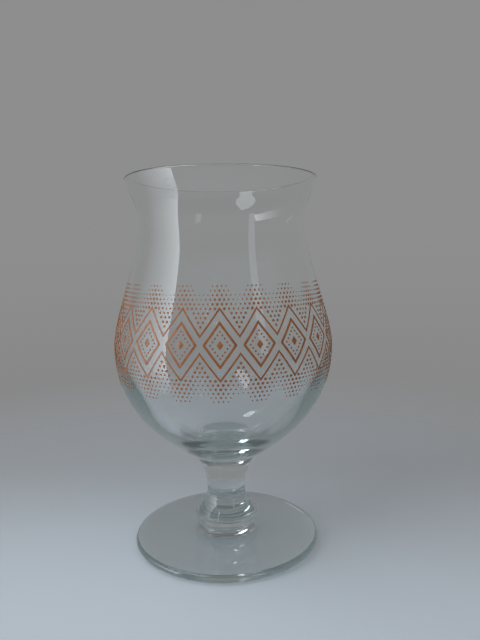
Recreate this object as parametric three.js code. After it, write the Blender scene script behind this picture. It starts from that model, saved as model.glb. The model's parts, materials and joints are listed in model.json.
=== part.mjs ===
// Tulip beer glass: a blown bowl welded to a short waisted stem and a pressed round foot,
// with a frieze of fired enamel lozenges and zigzag lines on the front of the bowl.
// Millimetres, +Z up. The origin is the centre of the plane that the foot rests on,
// and the printed front of the bowl faces -Y.
import * as THREE from "three";

// Heights
const glassHeight = 160; // table to the top of the rim
const bossNeckHeight = 7.4; // table to the narrowest place of the foot's boss
const bossHeight = 12.8; // table to the weld between foot and stem
const waistRise = 9.7; // that weld to the thinnest place of the stem
const stemLength = 25.7; // that weld to the weld between stem and bowl
const bellyRise = 50.1; // that weld to the widest place of the bowl
const rimRise = 19.8; // narrowest place of the bowl to the top of the rim

// Outer radii
const footRadius = 41;
const bossNeckRadius = 12.1;
const bossRadius = 13.9;
const waistRadius = 8.5;
const bowlBaseRadius = 13.8;
const bellyRadius = 47.2;
const neckRadius = 35.4;
const rimRadius = 40.8;

// Glass thickness
const floorThickness = 6; // solid bottom of the bowl
const bellyWall = 2;
const neckWall = 1.8;
const lipThickness = 1.9; // round bead at the rim
const footEdge = 3.4; // round edge of the foot

// Underside of the foot: a flat ring to rest on round a shallow hollow
const restRingWidth = 8.3;
const hollowDepth = 1.4;

// Welds: the stem ends stand this far inside the pieces that they are welded to
const weldStep = 0.4;

// Slopes of the outline, in degrees
const bowlBaseSlope = 33; // bowl's underside, above the horizontal
const rimFlare = 18.5; // rim, outward from the vertical
const stemTopSlope = 52; // stem's top, above the horizontal
const stemFootSlope = 53; // stem's foot, above the horizontal

// Lengths of the curve handles that set how full each stretch of the outline is
const bowlBaseReach = 19;
const bellyReachDown = 26.6;
const bellyReachUp = 12.9;
const neckReachDown = 12.7;
const neckReachUp = 8.1;
const rimReach = 9;
const innerBellyReach = 18;
const innerFloorReach = 26;
const stemTopReach = 5;
const waistReachUp = 6;
const waistReachDown = 4;
const stemFootReach = 3.5;
const footTopReach = 17;
const footTopRise = 1; // rise of the foot's top over that reach
const bossFilletReach = 2.6;
const bossReach = 2.2;

// Enamel frieze, laid out flat on the belly and wrapped round it
const enamelThickness = 0.2;
const enamelClearance = 0.1; // between the glass and the enamel
const friezeRise = 6.4; // belly to the middle of the frieze
const lozengeCount = 9;
const lozengeWidth = 13;
const lozengeHeight = 17.4;
const lozengeGap = 2; // between one lozenge and the next
const outlineWidth = 0.9; // line that draws each lozenge
const centreWidth = 2.6; // small filled lozenge inside each one
const centreHeight = 3.5;
const zigzagWidth = 0.7;
const zigzagOffset = 4.4; // from the lozenges' tips to the zigzag's peaks

// Fineness of the facets
const bowlSides = 64;
const stemSides = 40;
const footSides = 64;
const bowlCurvePoints = 9;
const stemCurvePoints = 7;
const footCurvePoints = 7;
const lipPoints = 6;
const edgePoints = 6;
const lineSteps = 3; // along each edge of a lozenge or zigzag
const centreSteps = 1; // along each edge of a filled lozenge

const glassMaterial = new THREE.MeshStandardMaterial({
  color: 0xe6efee,
  roughness: 0.04,
  metalness: 0,
  transparent: true,
  opacity: 0.35,
});
const enamelMaterial = new THREE.MeshStandardMaterial({
  color: 0x8a4e1e,
  roughness: 0.38,
  metalness: 0,
});

// Heights above the table that follow from the ones above
const bowlBaseHeight = bossHeight + stemLength;
const bellyHeight = bowlBaseHeight + bellyRise;
const neckHeight = glassHeight - rimRise;
const friezeHeight = bellyHeight + friezeRise;

const point = (radius, height) => new THREE.Vector2(radius, height);

// The step of the given length in a direction of the radius-height plane.
function step(length, degreesAboveHorizontal) {
  const angle = THREE.MathUtils.degToRad(degreesAboveHorizontal);
  return point(length * Math.cos(angle), length * Math.sin(angle));
}

function curve(start, startReach, endReach, end) {
  return new THREE.CubicBezierCurve(
    start,
    start.clone().add(startReach),
    end.clone().add(endReach),
    end,
  );
}

const pointsOn = (curves, count) => curves.flatMap((c) => c.getPoints(count));

function arcPoints(centre, radius, startDegrees, endDegrees, count) {
  return Array.from({ length: count + 1 }, (_, i) => {
    const degrees = THREE.MathUtils.lerp(startDegrees, endDegrees, i / count);
    return centre.clone().add(step(radius, degrees));
  });
}

// A solid turned from a profile that runs from the axis, up the outside, back to the axis.
function turned(profile, sides) {
  const apart = profile.filter((p, i) => i === 0 || p.distanceTo(profile[i - 1]) > 1e-6);
  return new THREE.LatheGeometry(apart, sides).rotateX(Math.PI / 2);
}

// Bowl
const lipRadius = lipThickness / 2;
const lipCentre = point(rimRadius - lipRadius, glassHeight - lipRadius);
const alongRim = 90 - rimFlare; // direction of the wall at the rim
const lipOuter = lipCentre.clone().add(step(lipRadius, -rimFlare));
const lipInner = lipCentre.clone().add(step(lipRadius, 180 - rimFlare));

const outerBase = point(bowlBaseRadius, bowlBaseHeight);
const outerBelly = point(bellyRadius, bellyHeight);
const outerNeck = point(neckRadius, neckHeight);
const outerCurves = [
  curve(outerBase, step(bowlBaseReach, bowlBaseSlope), point(0, -bellyReachDown), outerBelly),
  curve(outerBelly, point(0, bellyReachUp), point(0, -neckReachDown), outerNeck),
  curve(outerNeck, point(0, neckReachUp), step(-rimReach, alongRim), lipOuter),
];

function makeBowl() {
  const innerNeck = point(neckRadius - neckWall, neckHeight);
  const innerBelly = point(bellyRadius - bellyWall, bellyHeight);
  const innerFloor = point(0, bowlBaseHeight + floorThickness);
  const innerCurves = [
    curve(lipInner, step(-rimReach, alongRim), point(0, neckReachUp), innerNeck),
    curve(innerNeck, point(0, -neckReachDown), point(0, bellyReachUp), innerBelly),
    curve(innerBelly, point(0, -innerBellyReach), point(innerFloorReach, 0), innerFloor),
  ];
  return turned(
    [
      point(0, bowlBaseHeight),
      ...pointsOn(outerCurves, bowlCurvePoints),
      ...arcPoints(lipCentre, lipRadius, -rimFlare, 180 - rimFlare, lipPoints),
      ...pointsOn(innerCurves, bowlCurvePoints),
    ],
    bowlSides,
  );
}

// Stem
function makeStem() {
  const foot = point(bossRadius - weldStep, bossHeight);
  const waist = point(waistRadius, bossHeight + waistRise);
  const top = point(bowlBaseRadius - weldStep, bowlBaseHeight);
  const curves = [
    curve(foot, step(stemFootReach, 180 - stemFootSlope), point(0, -waistReachDown), waist),
    curve(waist, point(0, waistReachUp), step(-stemTopReach, stemTopSlope), top),
  ];
  return turned(
    [point(0, bossHeight), ...pointsOn(curves, stemCurvePoints), point(0, bowlBaseHeight)],
    stemSides,
  );
}

// Foot
function makeFoot() {
  const edgeRadius = footEdge / 2;
  const edgeCentre = point(footRadius - edgeRadius, edgeRadius);
  const hollowTop = point(0, hollowDepth);
  const restInner = point(edgeCentre.x - restRingWidth, 0);
  const topEdge = point(edgeCentre.x, footEdge);
  const bossNeck = point(bossNeckRadius, bossNeckHeight);
  const boss = point(bossRadius, bossHeight);
  const hollowReach = restInner.x / 2;
  const hollow = curve(hollowTop, point(hollowReach, 0), point(-hollowReach, 0), restInner);
  const topCurves = [
    curve(topEdge, point(-footTopReach, footTopRise), point(0, -bossFilletReach), bossNeck),
    curve(bossNeck, point(0, bossReach), point(0, -bossReach), boss),
  ];
  return turned(
    [
      ...pointsOn([hollow], footCurvePoints),
      ...arcPoints(edgeCentre, edgeRadius, -90, 90, edgePoints),
      ...pointsOn(topCurves, footCurvePoints),
      point(0, bossHeight),
    ],
    footSides,
  );
}

// Outer radius of the bowl at a height, found by halving along the outline.
function bowlRadiusAt(height) {
  const span = outerCurves.find((c) => height <= c.v3.y) ?? outerCurves.at(-1);
  let low = 0;
  let high = 1;
  const halvings = 40;
  for (let i = 0; i < halvings; i++) {
    const middle = (low + high) / 2;
    if (span.getPoint(middle).y < height) low = middle;
    else high = middle;
  }
  return span.getPoint(low).x;
}

// A flat point of the frieze, across and up from its middle, wrapped round the front of the bowl.
// Its height is counted from the frieze's middle.
function wrapped(flat, lift) {
  const radius = bowlRadiusAt(friezeHeight + flat.y) + lift;
  const angle = flat.x / bellyRadius - Math.PI / 2;
  return new THREE.Vector3(radius * Math.cos(angle), radius * Math.sin(angle), flat.y);
}

const enamelUnder = enamelClearance;
const enamelOver = enamelClearance + enamelThickness;

function fromVectors(vectors, triangles) {
  return new THREE.BufferGeometry().setFromPoints(vectors).setIndex(triangles.flat());
}

// The two triangles of a four-cornered face, its corners in turning order seen from outside.
const faceOf = (a, b, c, d) => [
  [a, b, c],
  [a, c, d],
];

// An enamel line between two flat edges, with the first on the right of the way along them.
// It is closed into a loop, or capped at both ends.
function enamelLine(rightEdge, leftEdge, isLoop) {
  const vectors = rightEdge.flatMap((right, i) => [
    wrapped(right, enamelUnder),
    wrapped(right, enamelOver),
    wrapped(leftEdge[i], enamelOver),
    wrapped(leftEdge[i], enamelUnder),
  ]);
  const sections = rightEdge.length;
  const triangles = [];
  for (let i = 0; i < (isLoop ? sections : sections - 1); i++) {
    const here = 4 * i;
    const next = 4 * ((i + 1) % sections);
    for (let side = 0; side < 4; side++) {
      const after = (side + 1) % 4;
      triangles.push(...faceOf(here + side, next + side, next + after, here + after));
    }
  }
  if (!isLoop) {
    const last = 4 * (sections - 1);
    triangles.push(...faceOf(0, 1, 2, 3));
    triangles.push(...faceOf(last + 3, last + 2, last + 1, last));
  }
  return fromVectors(vectors, triangles);
}

// Points along straight flat edges through the corners, each edge cut into equal steps.
function along(corners, steps, isLoop) {
  const edges = isLoop ? corners.length : corners.length - 1;
  const points = [];
  for (let i = 0; i < edges; i++) {
    const from = corners[i];
    const to = corners[(i + 1) % corners.length];
    for (let s = 0; s < steps; s++) points.push(from.clone().lerp(to, s / steps));
  }
  return isLoop ? points : [...points, corners.at(-1).clone()];
}

const lozengeCorners = (width, height) => [
  point(width / 2, 0),
  point(0, height / 2),
  point(-width / 2, 0),
  point(0, -height / 2),
];

// The lozenge's outline: square across, its line takes this much off the width and height inside.
function makeLozengeOutline() {
  const edge = Math.hypot(lozengeWidth, lozengeHeight);
  const widthTaken = (2 * outlineWidth * edge) / lozengeHeight;
  const heightTaken = (2 * outlineWidth * edge) / lozengeWidth;
  const outer = lozengeCorners(lozengeWidth, lozengeHeight);
  const inner = lozengeCorners(lozengeWidth - widthTaken, lozengeHeight - heightTaken);
  return enamelLine(along(outer, lineSteps, true), along(inner, lineSteps, true), true);
}

// A filled lozenge: a rim of points round a middle point, on its under side and its top.
function makeLozengeCentre() {
  const rim = along(lozengeCorners(centreWidth, centreHeight), centreSteps, true);
  const hub = point(0, 0);
  const vectors = [
    ...rim.map((p) => wrapped(p, enamelUnder)),
    ...rim.map((p) => wrapped(p, enamelOver)),
    wrapped(hub, enamelUnder),
    wrapped(hub, enamelOver),
  ];
  const count = rim.length;
  const triangles = rim.flatMap((_, i) => {
    const next = (i + 1) % count;
    return [
      [i + count, next + count, 2 * count + 1],
      [next, i, 2 * count],
      ...faceOf(i, next, next + count, i + count),
    ];
  });
  return fromVectors(vectors, triangles);
}

// The middles of the lozenges, from the left end of the frieze to the right.
const lozengePitch = lozengeWidth + lozengeGap;
const lozengeMiddles = Array.from(
  { length: lozengeCount },
  (_, i) => (i - (lozengeCount - 1) / 2) * lozengePitch,
);

// A zigzag with its peaks off the lozenges' tips and its valleys between them.
// The side is 1 above the lozenges, and -1 below them, where the zigzag is turned over.
function makeZigzag(side) {
  const rise = (lozengeHeight * lozengePitch) / lozengeWidth / 2;
  const peak = lozengeHeight / 2 + zigzagOffset;
  const valley = peak - rise;
  const halfLine = (zigzagWidth * Math.hypot(rise, lozengePitch / 2)) / lozengePitch;
  const corners = lozengeMiddles.flatMap((middle) => [
    point(middle - lozengePitch / 2, valley),
    point(middle, peak),
  ]);
  corners.push(point(lozengeMiddles.at(-1) + lozengePitch / 2, valley));
  const edge = (lift) => {
    const lifted = corners.map((p) => point(p.x, side * p.y + lift));
    return along(lifted, lineSteps, false);
  };
  return enamelLine(edge(-halfLine), edge(halfLine), false);
}

function namedMesh(name, geometry, material) {
  const mesh = new THREE.Mesh(geometry, material.clone());
  mesh.name = name;
  return mesh;
}

// The pieces in place: the glass round its axis, and the frieze at its height, with each lozenge
// turned round the axis to its own place.
const glass = new THREE.Group();
glass.add(namedMesh("bowl", makeBowl(), glassMaterial));
glass.add(namedMesh("stem", makeStem(), glassMaterial));
glass.add(namedMesh("foot", makeFoot(), glassMaterial));

const frieze = new THREE.Group();
frieze.position.z = friezeHeight;
glass.add(frieze);
lozengeMiddles.forEach((middle, i) => {
  const lozenge = new THREE.Group();
  lozenge.rotation.z = middle / bellyRadius;
  lozenge.add(namedMesh(`enamel_lozenge_${i + 1}`, makeLozengeOutline(), enamelMaterial));
  lozenge.add(namedMesh(`enamel_centre_${i + 1}`, makeLozengeCentre(), enamelMaterial));
  frieze.add(lozenge);
});
frieze.add(namedMesh("enamel_zigzag_upper", makeZigzag(1), enamelMaterial));
frieze.add(namedMesh("enamel_zigzag_lower", makeZigzag(-1), enamelMaterial));

export default glass;
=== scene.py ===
import bisect
import json
import math

import bmesh
import bpy
from mathutils import Matrix, Vector
from mathutils.geometry import interpolate_bezier

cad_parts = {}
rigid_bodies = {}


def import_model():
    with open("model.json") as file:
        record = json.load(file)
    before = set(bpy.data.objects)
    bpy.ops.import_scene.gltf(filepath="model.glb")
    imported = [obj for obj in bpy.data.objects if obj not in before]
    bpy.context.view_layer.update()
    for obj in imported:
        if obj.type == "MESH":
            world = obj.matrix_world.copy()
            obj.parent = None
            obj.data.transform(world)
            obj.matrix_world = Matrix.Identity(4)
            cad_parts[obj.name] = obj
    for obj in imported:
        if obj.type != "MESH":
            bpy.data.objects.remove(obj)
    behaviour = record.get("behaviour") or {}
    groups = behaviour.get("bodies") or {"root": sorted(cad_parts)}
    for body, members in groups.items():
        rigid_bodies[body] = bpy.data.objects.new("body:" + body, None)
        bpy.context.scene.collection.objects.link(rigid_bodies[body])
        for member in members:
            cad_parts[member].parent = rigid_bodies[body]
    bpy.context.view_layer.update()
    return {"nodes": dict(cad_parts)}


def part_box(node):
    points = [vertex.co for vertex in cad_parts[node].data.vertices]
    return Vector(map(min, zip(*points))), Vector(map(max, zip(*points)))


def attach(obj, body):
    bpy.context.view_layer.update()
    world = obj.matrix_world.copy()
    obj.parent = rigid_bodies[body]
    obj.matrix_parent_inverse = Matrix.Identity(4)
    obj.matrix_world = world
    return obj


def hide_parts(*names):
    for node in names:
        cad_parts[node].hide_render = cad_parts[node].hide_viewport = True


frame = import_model()
mm = 0.001
print("frame loaded:", len(frame["nodes"]), "nodes")


# small helpers for picking and editing

def pickNone():
    bpy.ops.object.select_all(action="DESELECT")


def pickOnly(piece):
    pickNone()
    piece.select_set(True)
    bpy.context.view_layer.objects.active = piece


def editMode(on):
    bpy.ops.object.mode_set(mode="EDIT" if on else "OBJECT")


def selectEdges(test):
    shape = bmesh.from_edit_mesh(bpy.context.object.data)
    bpy.ops.mesh.select_all(action="DESELECT")
    for edge in shape.edges:
        if test(edge):
            edge.select_set(True)
    shape.select_flush_mode()
    bmesh.update_edit_mesh(bpy.context.object.data)


def applyModifier(piece, kind, **settings):
    pickOnly(piece)
    modifier = piece.modifiers.new(kind.title(), kind)
    for name, value in settings.items():
        setattr(modifier, name, value)
    bpy.ops.object.modifier_apply(modifier=modifier.name)


def named(piece, name):
    piece.name = name
    piece.data.name = name
    return piece


def finishPiece(piece, material, slot, *nodes):
    piece.data.materials.clear()
    piece.data.materials.append(material)
    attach(piece, "root")
    if nodes:
        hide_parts(*nodes)


# shader maths: a socket that can be added, multiplied and so on

class Socket:
    def __init__(self, tree, out=None):
        self.tree = tree
        self.out = out

    def node(self, kind, settings=None, inputs=None, output=0):
        made = self.tree.nodes.new(kind)
        for name, value in (settings or {}).items():
            if name == "stops":
                for stop, (place, colour) in zip(made.color_ramp.elements, value):
                    stop.position = place
                    stop.color = colour
            else:
                setattr(made, name, value)
        for name, value in (inputs or {}).items():
            if isinstance(value, Socket):
                self.tree.links.new(value.out, made.inputs[name])
            else:
                made.inputs[name].default_value = value
        return Socket(self.tree, made.outputs[output]) if made.outputs else None

    def maths(self, operation, first, second):
        return self.node("ShaderNodeMath", {"operation": operation}, {0: first, 1: second})

    def __add__(self, other):
        return self.maths("ADD", self, other)

    def __radd__(self, other):
        return self.maths("ADD", other, self)

    def __sub__(self, other):
        return self.maths("SUBTRACT", self, other)

    def __rsub__(self, other):
        return self.maths("SUBTRACT", other, self)

    def __mul__(self, other):
        return self.maths("MULTIPLY", self, other)

    def __rmul__(self, other):
        return self.maths("MULTIPLY", other, self)


# an empty node tree on a material, the world or a lamp
def emptyTree(owner):
    owner.use_nodes = True
    owner.node_tree.nodes.clear()
    return Socket(owner.node_tree)


def newMaterial(name):
    material = bpy.data.materials.new(name)
    return material, emptyTree(material)


# goes smoothly from low to high while the value goes from start to end
def fade(value, start, end, low=0.0, high=1.0):
    return value.node("ShaderNodeMapRange", {"interpolation_type": "SMOOTHSTEP"}, {
        "Value": value, "From Min": start, "From Max": end, "To Min": low, "To Max": high,
    })


# clear glass: slightly wavy, faintly green-blue where it is thick

clearGlass = {
    "colour": (0.985, 0.995, 0.992, 1),
    "ior": 1.52,
    "waveScale": 26,
    "waveDetail": 1.0,
    "waveDepth": 0.00002,  # metres
    "tint": (0.2, 0.47, 0.48, 1),
    "tintDensity": 6.2,
}


def makeClearGlass(look):
    material, shader = newMaterial("clearGlass")
    place = shader.node("ShaderNodeTexCoord", output="Object")
    wave = shader.node("ShaderNodeTexNoise", {}, {
        "Vector": place, "Scale": look["waveScale"], "Detail": look["waveDetail"],
    })
    bump = shader.node("ShaderNodeBump", {}, {
        "Strength": 1.0, "Distance": look["waveDepth"], "Height": wave,
    })
    glass = shader.node("ShaderNodeBsdfPrincipled", {}, {
        "Base Color": look["colour"],
        "Roughness": 0.0,
        "IOR": look["ior"],
        "Transmission Weight": 1.0,
        "Normal": bump,
    })
    tint = shader.node("ShaderNodeVolumeAbsorption", {}, {
        "Color": look["tint"],
        "Density": look["tintDensity"],
    })
    shader.node("ShaderNodeOutputMaterial", {}, {"Surface": glass, "Volume": tint})
    return material


# fired enamel: copper colour, mottled, with a satin glaze

copperEnamel = {
    "deep": (0.165, 0.046, 0.006, 1),
    "light": (0.27, 0.086, 0.012, 1),
    "deepAt": 0.32,  # values of the mottling
    "lightAt": 0.68,
    "mottleScale": 420,
    "mottleDetail": 3.0,
    "mottleShare": 0.7,
    "grainScale": 2600,
    "grainDetail": 2.0,
    "grainShare": 0.3,
    "grainRoughness": 0.16,
    "grainDepth": 0.00003,  # metres
    "grainStrength": 0.6,
    "roughness": 0.34,
    "glaze": 0.25,
    "glazeRoughness": 0.2,
}


def makeCopperEnamel(look):
    material, shader = newMaterial("copperEnamel")
    place = shader.node("ShaderNodeTexCoord", output="Object")
    mottle = shader.node("ShaderNodeTexNoise", {}, {
        "Vector": place, "Scale": look["mottleScale"], "Detail": look["mottleDetail"],
    })
    grain = shader.node("ShaderNodeTexNoise", {}, {
        "Vector": place, "Scale": look["grainScale"], "Detail": look["grainDetail"],
    })
    colour = shader.node(
        "ShaderNodeValToRGB",
        {"stops": [(look["deepAt"], look["deep"]), (look["lightAt"], look["light"])]},
        {"Fac": mottle * look["mottleShare"] + grain * look["grainShare"]},
    )
    bump = shader.node("ShaderNodeBump", {}, {
        "Strength": look["grainStrength"], "Distance": look["grainDepth"], "Height": grain,
    })
    enamel = shader.node("ShaderNodeBsdfPrincipled", {}, {
        "Base Color": colour,
        "Roughness": grain * look["grainRoughness"] + look["roughness"],
        "Coat Weight": look["glaze"],
        "Coat Roughness": look["glazeRoughness"],
        "Normal": bump,
    })
    shader.node("ShaderNodeOutputMaterial", {}, {"Surface": enamel})
    return material


# glass body: one outline, turned round the axis, because foot, stem and bowl are fused

footLow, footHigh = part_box("foot")
bowlLow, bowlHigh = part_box("bowl")

glassBody = {  # millimetres and degrees
    "footRadius": footHigh.x / mm,
    "bossHeight": footHigh.z / mm,
    "bowlBaseHeight": bowlLow.z / mm,
    "bellyRadius": bowlHigh.x / mm,
    "rimTop": bowlHigh.z / mm,
    "hollowDepth": 1.4,
    "restRingWidth": 8.3,
    "footEdge": 3.4,
    "footTopReach": (-17, 1),  # a handle, across and up
    "bossNeck": (12.1, 7.4),
    "bossNeckReach": (2.6, 2.2),  # handles back and on
    "bossRadius": 13.9,
    "bossReach": 2.2,
    "weldStep": 0.4,
    "weldRound": 0.25,
    "stemFootReach": (3.5, 127),  # a handle's length and slope
    "waistRadius": 8.5,
    "waistRise": 9.7,
    "waistReach": (4, 6),  # handles back and on
    "stemTopReach": (5, 52),  # a handle's length and slope
    "bowlBaseRadius": 13.8,
    "bowlBaseReach": (19, 33),  # a handle's length and slope
    "bellyRise": 50.1,
    "bellyReach": (26.6, 12.9),  # handles back and on
    "neckRadius": 35.4,
    "neckRise": 51.6,
    "neckReach": (12.7, 8.1),  # handles back and on
    "rimRadius": 40.8,
    "rimFlare": 18.5,
    "rimReach": 9,
    "lipThickness": 1.9,
    "neckWall": 1.8,
    "bellyWall": 2.0,
    "innerBellyReach": 18,
    "innerFloorReach": 26,
    "floorThickness": 6,
    "pointsPerCurve": 16,
    "sides": 192,
    "mergeDistance": 0.001,
    "smoothAngle": 40,
}
quarterReach = 0.5523  # handle of a quarter circle, over its radius


def slant(length, degrees):
    return Vector((length * math.cos(math.radians(degrees)), length * math.sin(math.radians(degrees))))


# anchors are (radius, height) with the handles back and on, from the underside to the bowl's floor
def glassAnchors(glass):
    edge = glass["footEdge"] / 2
    edgeMiddle = glass["footRadius"] - edge
    hollowRadius = edgeMiddle - glass["restRingWidth"]
    turn = quarterReach * edge
    weld = glass["weldRound"]
    belly = glass["bowlBaseHeight"] + glass["bellyRise"]
    neck = belly + glass["neckRise"]
    lip = glass["lipThickness"] / 2
    lipMiddle = Vector((glass["rimRadius"] - lip, glass["rimTop"] - lip))
    alongRim = 90 - glass["rimFlare"]
    lipTurn = quarterReach * lip
    downRim = slant(-glass["rimReach"], alongRim)
    anchors = {
        "hollow": ((0, glass["hollowDepth"]), (-hollowRadius / 2, 0), (hollowRadius / 2, 0)),
        "ringInner": ((hollowRadius, 0), (-hollowRadius / 2, 0), (glass["restRingWidth"] / 3, 0)),
        "ringOuter": ((edgeMiddle, 0), (-glass["restRingWidth"] / 3, 0), (turn, 0)),
        "footEdge": ((glass["footRadius"], edge), (0, -turn), (0, turn)),
        "footTop": ((edgeMiddle, glass["footEdge"]), (turn, 0), glass["footTopReach"]),
        "bossNeck": (
            glass["bossNeck"],
            (0, -glass["bossNeckReach"][0]),
            (0, glass["bossNeckReach"][1]),
        ),
        "boss": (
            (glass["bossRadius"], glass["bossHeight"] - weld),
            (0, -glass["bossReach"]),
            (0, weld),
        ),
        "stemFoot": (
            (glass["bossRadius"] - glass["weldStep"], glass["bossHeight"] + weld),
            slant(-weld, glass["stemFootReach"][1]),
            slant(*glass["stemFootReach"]),
        ),
        "waist": (
            (glass["waistRadius"], glass["bossHeight"] + glass["waistRise"]),
            (0, -glass["waistReach"][0]),
            (0, glass["waistReach"][1]),
        ),
        "stemTop": (
            (glass["bowlBaseRadius"] - glass["weldStep"], glass["bowlBaseHeight"] - weld),
            slant(-glass["stemTopReach"][0], glass["stemTopReach"][1]),
            slant(weld, glass["stemTopReach"][1]),
        ),
        "bowlBase": (
            (glass["bowlBaseRadius"], glass["bowlBaseHeight"] + weld),
            slant(-weld, glass["bowlBaseReach"][1]),
            slant(*glass["bowlBaseReach"]),
        ),
        "belly": (
            (glass["bellyRadius"], belly),
            (0, -glass["bellyReach"][0]),
            (0, glass["bellyReach"][1]),
        ),
        "neck": (
            (glass["neckRadius"], neck),
            (0, -glass["neckReach"][0]),
            (0, glass["neckReach"][1]),
        ),
        "lipOuter": (
            lipMiddle + slant(lip, -glass["rimFlare"]),
            downRim,
            slant(lipTurn, alongRim),
        ),
        "lipTop": (
            lipMiddle + slant(lip, alongRim),
            slant(-lipTurn, alongRim + 90),
            slant(lipTurn, alongRim + 90),
        ),
        "lipInner": (
            lipMiddle + slant(lip, alongRim + 90),
            slant(lipTurn, alongRim),
            downRim,
        ),
        "innerNeck": (
            (glass["neckRadius"] - glass["neckWall"], neck),
            (0, glass["neckReach"][1]),
            (0, -glass["neckReach"][0]),
        ),
        "innerBelly": (
            (glass["bellyRadius"] - glass["bellyWall"], belly),
            (0, glass["bellyReach"][1]),
            (0, -glass["innerBellyReach"]),
        ),
        "floor": (
            (0, glass["bowlBaseHeight"] + glass["floorThickness"]),
            (glass["innerFloorReach"], 0),
            (-glass["innerFloorReach"], 0),
        ),
    }
    return {name: tuple(Vector(part) for part in anchor) for name, anchor in anchors.items()}


def upright(flat):
    return Vector((flat.x, 0, flat.y)) * mm


def makeGlassBody(glass):
    anchors = glassAnchors(glass)
    pickNone()
    bpy.ops.curve.primitive_bezier_curve_add()
    outline = bpy.context.object
    outline.data.resolution_u = glass["pointsPerCurve"]
    points = outline.data.splines[0].bezier_points
    points.add(len(anchors) - len(points))
    for bezier, (place, back, on) in zip(points, anchors.values()):
        bezier.handle_left_type = bezier.handle_right_type = "FREE"
        bezier.co = upright(place)
        bezier.handle_left = upright(place + back)
        bezier.handle_right = upright(place + on)
    pickOnly(outline)
    bpy.ops.object.convert(target="MESH")
    turned = bpy.context.object
    editMode(True)
    bpy.ops.mesh.select_all(action="SELECT")
    bpy.ops.mesh.spin(steps=glass["sides"], angle=2 * math.pi, center=(0, 0, 0), axis=(0, 0, 1))
    bpy.ops.mesh.select_all(action="SELECT")
    bpy.ops.mesh.remove_doubles(threshold=glass["mergeDistance"] * mm)
    bpy.ops.mesh.normals_make_consistent(inside=False)
    editMode(False)
    bpy.ops.object.shade_smooth_by_angle(angle=math.radians(glass["smoothAngle"]))
    return named(turned, "glassBody")


clearGlassMaterial = makeClearGlass(clearGlass)
copperEnamelMaterial = makeCopperEnamel(copperEnamel)
body = makeGlassBody(glassBody)
finishPiece(body, clearGlassMaterial, "clear_glass", "bowl", "stem", "foot")
print("glass body:", len(body.data.polygons), "faces")


# enamel frieze: motifs drawn flat, x across and z up from its middle, then wrapped round the bowl

frieze = {  # millimetres and degrees
    "rise": 6.4,  # above the belly
    "sunk": 0.05,  # into the glass, where it is fused
    "proud": 0.12,
    "softEdge": 0.06,
    "softEdgeSegments": 2,
    "softEdgeAngle": 60,  # sharper edges than this are softened
    "smoothAngle": 50,
    "lozengeCount": 9,
    "lozengeWidth": 13,
    "lozengeHeight": 17.4,
    "lozengeGap": 2,
    "cornerRound": 0.45,
    "cornerSegments": 4,
    "outlineWidth": 0.9,
    "centreWidth": 2.6,
    "centreHeight": 3.5,
    "centreRound": 0.225,
    "zigzagWidth": 0.7,
    "zigzagOffset": 4.4,
    "edgeCuts": 5,
    "mergeDistance": 0.01,
    "outlineSteps": 200,  # points along each curve of the bowl
}
friezeHeight = glassBody["bowlBaseHeight"] + glassBody["bellyRise"] + frieze["rise"]
pitch = frieze["lozengeWidth"] + frieze["lozengeGap"]
pitchAngle = pitch / glassBody["bellyRadius"]


# the bowl's outer outline between its base and its neck, as heights and radii in millimetres
def bowlOutline(glass, steps):
    anchors = glassAnchors(glass)
    points = []
    for low, high in (("bowlBase", "belly"), ("belly", "neck")):
        start, _, startOn = anchors[low]
        end, endBack, _ = anchors[high]
        points += interpolate_bezier(start, start + startOn, end + endBack, end, steps)
    return [point.y for point in points], [point.x for point in points]


outlineHeights, outlineRadii = bowlOutline(glassBody, frieze["outlineSteps"])


def bowlRadiusAt(height):
    above = bisect.bisect(outlineHeights, height)
    low, high = outlineHeights[above - 1], outlineHeights[above]
    share = (height - low) / (high - low)
    return outlineRadii[above - 1] + share * (outlineRadii[above] - outlineRadii[above - 1])


def wrapRound(piece):
    for vertex in piece.data.vertices:
        across, depth, up = vertex.co / mm
        height = friezeHeight + up
        radius = bowlRadiusAt(height) - depth
        angle = across / glassBody["bellyRadius"] - math.pi / 2
        vertex.co = Vector((radius * math.cos(angle), radius * math.sin(angle), height)) * mm


# thickens a flat motif from inside the glass outwards, softens its edges and wraps it
def raiseMotif(piece, design):
    pickOnly(piece)
    editMode(True)
    bpy.ops.mesh.select_all(action="SELECT")
    bpy.ops.transform.translate(value=(0, design["sunk"] * mm, 0))
    bpy.ops.mesh.extrude_region_move(
        TRANSFORM_OT_translate={"value": (0, -(design["sunk"] + design["proud"]) * mm, 0)}
    )
    bpy.ops.mesh.select_all(action="SELECT")
    bpy.ops.mesh.normals_make_consistent(inside=False)
    editMode(False)
    applyModifier(
        piece,
        "BEVEL",
        width=design["softEdge"] * mm,
        segments=design["softEdgeSegments"],
        angle_limit=math.radians(design["softEdgeAngle"]),
    )
    wrapRound(piece)
    pickOnly(piece)
    bpy.ops.object.shade_smooth_by_angle(angle=math.radians(design["smoothAngle"]))


def addUprightCircle(corners, radius, place=(0, 0)):
    bpy.ops.mesh.primitive_circle_add(
        vertices=corners,
        radius=radius * mm,
        fill_type="NGON",
        location=(place[0] * mm, 0, place[1] * mm),
        rotation=(math.pi / 2, 0, 0),
    )


# a lozenge with softly rounded corners, flat, left in edit mode
def addLozenge(width, height, cornerRound, segments):
    pickNone()
    addUprightCircle(4, 1)  # a square on its corner, 1 mm from its middle to each corner
    bpy.ops.object.transform_apply(location=True, rotation=True, scale=True)
    editMode(True)
    bpy.ops.mesh.select_all(action="SELECT")
    bpy.ops.transform.resize(value=(width / 2, 1, height / 2))
    bpy.ops.mesh.bevel(affect="VERTICES", offset=cornerRound * mm, segments=segments)
    return bpy.context.object


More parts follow.
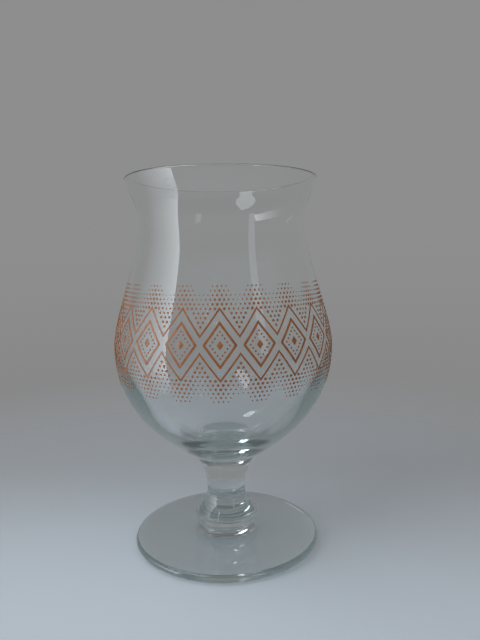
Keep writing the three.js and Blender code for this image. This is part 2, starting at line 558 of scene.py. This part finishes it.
def makeLozengeOutline(design):
    lozenge = addLozenge(
        design["lozengeWidth"], design["lozengeHeight"], design["cornerRound"], design["cornerSegments"]
    )
    bpy.ops.mesh.select_all(action="SELECT")
    bpy.ops.mesh.inset(thickness=design["outlineWidth"] * mm, use_even_offset=True)
    bpy.ops.mesh.delete(type="FACE")
    longEdge = design["lozengeHeight"] / 4 * mm  # longer than any edge of a rounded corner
    selectEdges(lambda edge: edge.calc_length() > longEdge)
    bpy.ops.mesh.subdivide(number_cuts=design["edgeCuts"])
    editMode(False)
    raiseMotif(lozenge, design)
    return lozenge


def makeLozengeCentre(design):
    lozenge = addLozenge(
        design["centreWidth"], design["centreHeight"], design["centreRound"], design["cornerSegments"]
    )
    editMode(False)
    raiseMotif(lozenge, design)
    return lozenge


# one chevron, repeated side by side into a zigzag; side is 1 above the lozenges, -1 below
def makeZigzag(design, side):
    rise = design["lozengeHeight"] * pitch / design["lozengeWidth"] / 2
    peak = design["lozengeHeight"] / 2 + design["zigzagOffset"]
    lineHeight = design["zigzagWidth"] * math.hypot(rise, pitch / 2) / (pitch / 2)
    firstMiddle = -(design["lozengeCount"] - 1) / 2 * pitch
    mergeDistance = design["mergeDistance"] * mm

    def atPeak(edge):
        return all(abs(corner.co.x - firstMiddle * mm) < mergeDistance for corner in edge.verts)

    pickNone()
    bpy.ops.mesh.primitive_plane_add(size=1, rotation=(math.pi / 2, 0, 0))
    bpy.ops.object.transform_apply(location=True, rotation=True, scale=True)
    zigzag = bpy.context.object
    editMode(True)
    bpy.ops.mesh.select_all(action="SELECT")
    bpy.ops.transform.resize(value=(pitch / 2 * mm, 1, lineHeight * mm))
    bpy.ops.transform.translate(value=((firstMiddle - pitch / 4) * mm, 0, side * (peak - rise) * mm))
    selectEdges(atPeak)
    bpy.ops.transform.translate(value=(0, 0, side * rise * mm))
    bpy.ops.mesh.extrude_region_move(
        TRANSFORM_OT_translate={"value": (pitch / 2 * mm, 0, -side * rise * mm)}
    )
    selectEdges(lambda edge: edge.calc_length() > pitch / 2 * mm)
    bpy.ops.mesh.subdivide(number_cuts=design["edgeCuts"])
    editMode(False)
    applyModifier(
        zigzag,
        "ARRAY",
        count=design["lozengeCount"],
        use_relative_offset=False,
        use_constant_offset=True,
        constant_offset_displace=(pitch * mm, 0, 0),
        use_merge_vertices=True,
        merge_threshold=mergeDistance,
    )
    raiseMotif(zigzag, design)
    return zigzag


dots = {  # millimetres
    "corners": 12,
    "ringInset": 2.3,  # ring of dots inside each lozenge, from its outer edge
    "ringPerEdge": 4,
    "ringDiameter": 0.75,
    "spacing": 1.9,
    "margin": 1.35,  # from the zigzag to the first dots
    "reach": 8.2,  # from the zigzag to where the dots have faded out
    "largest": 1.15,
    "smallest": 0.4,
}


# a place is a dot's distance across and up from the middle of its lozenge, and its diameter
def ringPlaces(design, spots):
    edge = math.hypot(design["lozengeWidth"], design["lozengeHeight"])
    halfWidth = design["lozengeWidth"] / 2 - spots["ringInset"] * edge / design["lozengeHeight"]
    halfHeight = design["lozengeHeight"] / 2 - spots["ringInset"] * edge / design["lozengeWidth"]
    corners = [(halfWidth, 0), (0, halfHeight), (-halfWidth, 0), (0, -halfHeight)]
    places = []
    for here, there in zip(corners, corners[1:] + corners[:1]):
        for step in range(spots["ringPerEdge"]):
            share = step / spots["ringPerEdge"]
            across = here[0] + share * (there[0] - here[0])
            up = here[1] + share * (there[1] - here[1])
            places.append((across, up, spots["ringDiameter"]))
    return places


# rows of dots above and below the zigzags, which get smaller away from them
def fadingPlaces(design, spots):
    slope = design["lozengeHeight"] / design["lozengeWidth"]
    peak = design["lozengeHeight"] / 2 + design["zigzagOffset"]
    perRow = round(pitch / spots["spacing"])
    step = pitch / perRow
    rowStep = step * math.sqrt(3) / 2
    places = []
    for row in range(math.ceil((peak + spots["reach"]) / rowStep)):
        up = row * rowStep
        for column in range(perRow):
            across = (column + (row % 2) / 2) * step - pitch / 2
            line = peak - slope * abs(across)
            away = (up - line) / math.hypot(1, slope)
            if spots["margin"] < away < spots["reach"]:
                share = (away - spots["margin"]) / (spots["reach"] - spots["margin"])
                diameter = spots["largest"] + share * (spots["smallest"] - spots["largest"])
                places += [(across, up, diameter), (across, -up, diameter)]
    return places


# all dots that go with one lozenge, in one mesh
def makeDots(places, design, corners):
    pickNone()
    bpy.ops.mesh.primitive_plane_add(size=1)  # an empty mesh to draw the dots in
    group = bpy.context.object
    editMode(True)
    bpy.ops.mesh.select_all(action="SELECT")
    bpy.ops.mesh.delete(type="VERT")
    for across, up, diameter in places:
        addUprightCircle(corners, diameter / 2, (across, up))
    wall = design["sunk"] + design["proud"] - design["softEdge"]
    softEdge = design["softEdge"] * mm
    bpy.ops.mesh.select_all(action="SELECT")
    bpy.ops.transform.translate(value=(0, design["sunk"] * mm, 0))
    bpy.ops.mesh.extrude_region_move(TRANSFORM_OT_translate={"value": (0, -wall * mm, 0)})
    bpy.ops.mesh.inset(thickness=softEdge, depth=softEdge, use_individual=True)
    bpy.ops.mesh.select_all(action="SELECT")
    bpy.ops.mesh.normals_make_consistent(inside=False)
    editMode(False)
    wrapRound(group)
    bpy.ops.object.shade_smooth_by_angle(angle=math.radians(design["smoothAngle"]))
    return group


# copies of a motif, each with its own mesh, turned round the axis to the lozenges' places
def copiesRound(motif, name, count):
    copies = []
    for number in range(1, count + 1):
        pickOnly(motif)
        bpy.ops.object.duplicate()
        copy = named(bpy.context.object, name + str(number))
        turn = (number - (count + 1) / 2) * pitchAngle
        copy.data.transform(Matrix.Rotation(turn, 4, "Z"))
        copies.append(copy)
    bpy.data.objects.remove(motif)
    return copies


lozengeCount = frieze["lozengeCount"]
dotPlaces = ringPlaces(frieze, dots) + fadingPlaces(frieze, dots)
outlines = copiesRound(makeLozengeOutline(frieze), "enamelLozenge", lozengeCount)
for number, piece in enumerate(outlines, 1):
    finishPiece(piece, copperEnamelMaterial, "copper_enamel", "enamel_lozenge_" + str(number))
centres = copiesRound(makeLozengeCentre(frieze), "enamelCentre", lozengeCount)
for number, piece in enumerate(centres, 1):
    finishPiece(piece, copperEnamelMaterial, "copper_enamel", "enamel_centre_" + str(number))
for piece in copiesRound(makeDots(dotPlaces, frieze, dots["corners"]), "enamelDots", lozengeCount):
    finishPiece(piece, copperEnamelMaterial, "copper_enamel")
upperZigzag = named(makeZigzag(frieze, 1), "enamelZigzagUpper")
finishPiece(upperZigzag, copperEnamelMaterial, "copper_enamel", "enamel_zigzag_upper")
lowerZigzag = named(makeZigzag(frieze, -1), "enamelZigzagLower")
finishPiece(lowerZigzag, copperEnamelMaterial, "copper_enamel", "enamel_zigzag_lower")
print("enamel frieze:", lozengeCount, "lozenges,", lozengeCount * len(dotPlaces), "dots")


# stage: a round floor with painted light and shade, painted paler in front as if lit there and darker
# towards the back as painted shade, that fades out into the soft grey around it

stage = {  # metres
    "radius": 2,
    "sides": 64,
    "drop": 0.0003,  # below the foot's rest ring
    # painted light and shade: the floor's front colour is a painted lit tone, and its back colour is a
    # painted shade
    "front": (0.38, 0.42, 0.46, 1),
    "back": (0.235, 0.25, 0.265, 1),
    "grade": (-0.08, 0.1),  # from front to back
    "roughness": 0.85,
    "fadeFrom": 0.06,  # away from the axis
    "fadeTo": 0.4,
}


def makeFloorMaterial(look):
    material, shader = newMaterial("floorPaper")
    place = shader.node("ShaderNodeTexCoord", output="Object")
    away = shader.node("ShaderNodeVectorMath", {"operation": "LENGTH"}, {0: place}, "Value")
    depth = shader.node("ShaderNodeSeparateXYZ", {}, {"Vector": place}, "Y")
    # painted light and shade: the colour goes from the paler painted-lit front to the darker
    # painted-shade back
    colour = shader.node(
        "ShaderNodeValToRGB",
        {"stops": [(0.0, look["front"]), (1.0, look["back"])]},
        {"Fac": fade(depth, *look["grade"])},
    )
    paper = shader.node("ShaderNodeBsdfPrincipled", {}, {
        "Base Color": colour, "Roughness": look["roughness"],
    })
    nothing = shader.node("ShaderNodeBsdfTransparent")
    share = fade(away, look["fadeFrom"], look["fadeTo"])
    faded = shader.node("ShaderNodeMixShader", {}, {0: share, 1: paper, 2: nothing})
    shader.node("ShaderNodeOutputMaterial", {}, {"Surface": faded})
    return material


def makeFloor(look):
    pickNone()
    bpy.ops.mesh.primitive_circle_add(
        vertices=look["sides"], radius=look["radius"], fill_type="NGON"
    )
    floor = named(bpy.context.object, "floor")
    editMode(True)
    bpy.ops.mesh.select_all(action="SELECT")
    bpy.ops.transform.translate(value=(0, 0, -look["drop"]))
    editMode(False)
    floor.data.materials.append(makeFloorMaterial(look))


makeFloor(stage)


# light: a soft sky, brightest from the left and above, in a room that looks plain grey,
# and softboxes that the glass mirrors or lets through

sky = {
    "horizon": 0.27,  # how bright the room looks at eye level
    "overhead": 0.12,
    "low": 0.24,
    "overheadFade": (0.35, 0.9),  # heights of a direction
    "lowFade": (-0.3, 0.05),
    "lightFrom": (-0.75, -0.35, 0.56),
    "leastLight": 0.4,
    "mostLight": 0.95,
}
softboxes = {  # metres; degrees round from the front, to the left
    "wideSoftbox": {
        "around": 85.5, "away": 0.8, "middle": 0.05, "size": (0.9, 1.1), "radiance": 5.6,
        "mirrored": True, "seenThrough": False, "graded": True,
    },
    "slimSoftbox": {
        "around": -41.2, "away": 0.8, "middle": 0.35, "size": (0.12, 0.6), "radiance": 1.3,
        "mirrored": True, "seenThrough": False, "graded": False,
    },
    "sparkSoftbox": {
        "around": 155, "away": 0.75, "middle": 0.72, "size": (0.12, 0.2), "radiance": 5.5,
        "mirrored": False, "seenThrough": True, "graded": False,
    },
    "keySoftbox": {
        "around": 75, "away": 0.45, "middle": 0.85, "size": (0.9, 0.3), "radiance": 3.0,
        "mirrored": True, "seenThrough": False, "graded": False,
    },
}
softboxColour = (0.92, 1.0, 1.08)


# what the camera sees, also mirrored or through glass, is the room; what lights the surfaces is the sky
def makeSky(look):
    world = bpy.data.worlds.new("softSky")
    bpy.context.scene.world = world
    shader = emptyTree(world)
    direction = shader.node("ShaderNodeTexCoord", output="Generated")
    height = shader.node("ShaderNodeSeparateXYZ", {}, {"Vector": direction}, "Z")
    leaning = shader.node(
        "ShaderNodeVectorMath",
        {"operation": "DOT_PRODUCT"},
        {0: direction, 1: look["lightFrom"]},
        "Value",
    )
    lower = fade(height, *look["lowFade"], look["low"], look["horizon"])
    upper = fade(height, *look["overheadFade"], 0.0, look["horizon"] - look["overhead"])
    room = lower - upper
    light = fade(leaning, -1.0, 1.0, look["leastLight"], look["mostLight"])
    straight, mirrored, through, scattered = (
        shader.node("ShaderNodeLightPath", output=name)
        for name in ("Is Camera Ray", "Is Glossy Ray", "Is Transmission Ray", "Diffuse Depth")
    )
    seen = shader.maths("MINIMUM", straight + mirrored + through, 1.0)
    seen = seen * (1 - shader.maths("MINIMUM", scattered, 1.0))
    strength = light + seen * (room - light)
    glow = shader.node("ShaderNodeBackground", {}, {"Color": (1, 1, 1, 1), "Strength": strength})
    shader.node("ShaderNodeOutputWorld", {}, {"Surface": glow})


# makes a softbox brightest along its front edge, and dimmer towards its back
def gradeSoftbox(lamp):
    shader = emptyTree(lamp)
    place = shader.node("ShaderNodeNewGeometry", output="Parametric")
    across = shader.node("ShaderNodeSeparateXYZ", {}, {"Vector": place}, "X")
    colour = shader.node(
        "ShaderNodeValToRGB",
        {"stops": [(0.0, (0, 0, 0, 1)), (1.0, (1, 1, 1, 1))]},
        {"Fac": across * across},
    )
    glow = shader.node("ShaderNodeEmission", {}, {"Color": colour})
    shader.node("ShaderNodeOutputLight", {}, {"Surface": glow})


def addSoftbox(name, box):
    turn = math.radians(box["around"])
    place = Vector((-box["away"] * math.sin(turn), -box["away"] * math.cos(turn), box["middle"]))
    bpy.ops.object.light_add(type="AREA", location=place)
    made = named(bpy.context.object, name)
    made.rotation_euler = place.to_track_quat("Z", "Y").to_euler()
    made.data.shape = "RECTANGLE"
    made.data.size, made.data.size_y = box["size"]
    made.data.color = softboxColour
    made.data.energy = box["radiance"] * math.pi * box["size"][0] * box["size"][1]
    if box["graded"]:
        gradeSoftbox(made.data)
    made.visible_camera = False
    made.visible_glossy = box["mirrored"]
    made.visible_transmission = box["seenThrough"]


makeSky(sky)
for name, box in softboxes.items():
    addSoftbox(name, box)
print("light and stage set")


# camera at the photograph's viewing angle

view = {  # metres, degrees, and the lens in millimetres
    "place": (0.00737, -0.24698, 0.12710),
    "pitchDown": 6.53,
    "roll": -0.84,
    "lens": 31.75,
    "clipStart": 0.01,
}
lightBounces = 128  # light crosses many glass walls

bpy.ops.object.camera_add()
camera = named(bpy.context.object, "camera")
tilt = Matrix.Rotation(math.radians(90 - view["pitchDown"]), 4, "X")
roll = Matrix.Rotation(math.radians(view["roll"]), 4, "Z")
camera.matrix_world = Matrix.Translation(view["place"]) @ tilt @ roll
camera.data.lens = view["lens"]
camera.data.clip_start = view["clipStart"]
bpy.context.scene.camera = camera
bpy.context.scene.view_settings.view_transform = "Standard"
bpy.context.scene.cycles.max_bounces = lightBounces
bpy.context.scene.cycles.transmission_bounces = lightBounces
bpy.context.scene.cycles.glossy_bounces = lightBounces
bpy.context.scene.cycles.blur_glossy = 0.0
print("camera set")
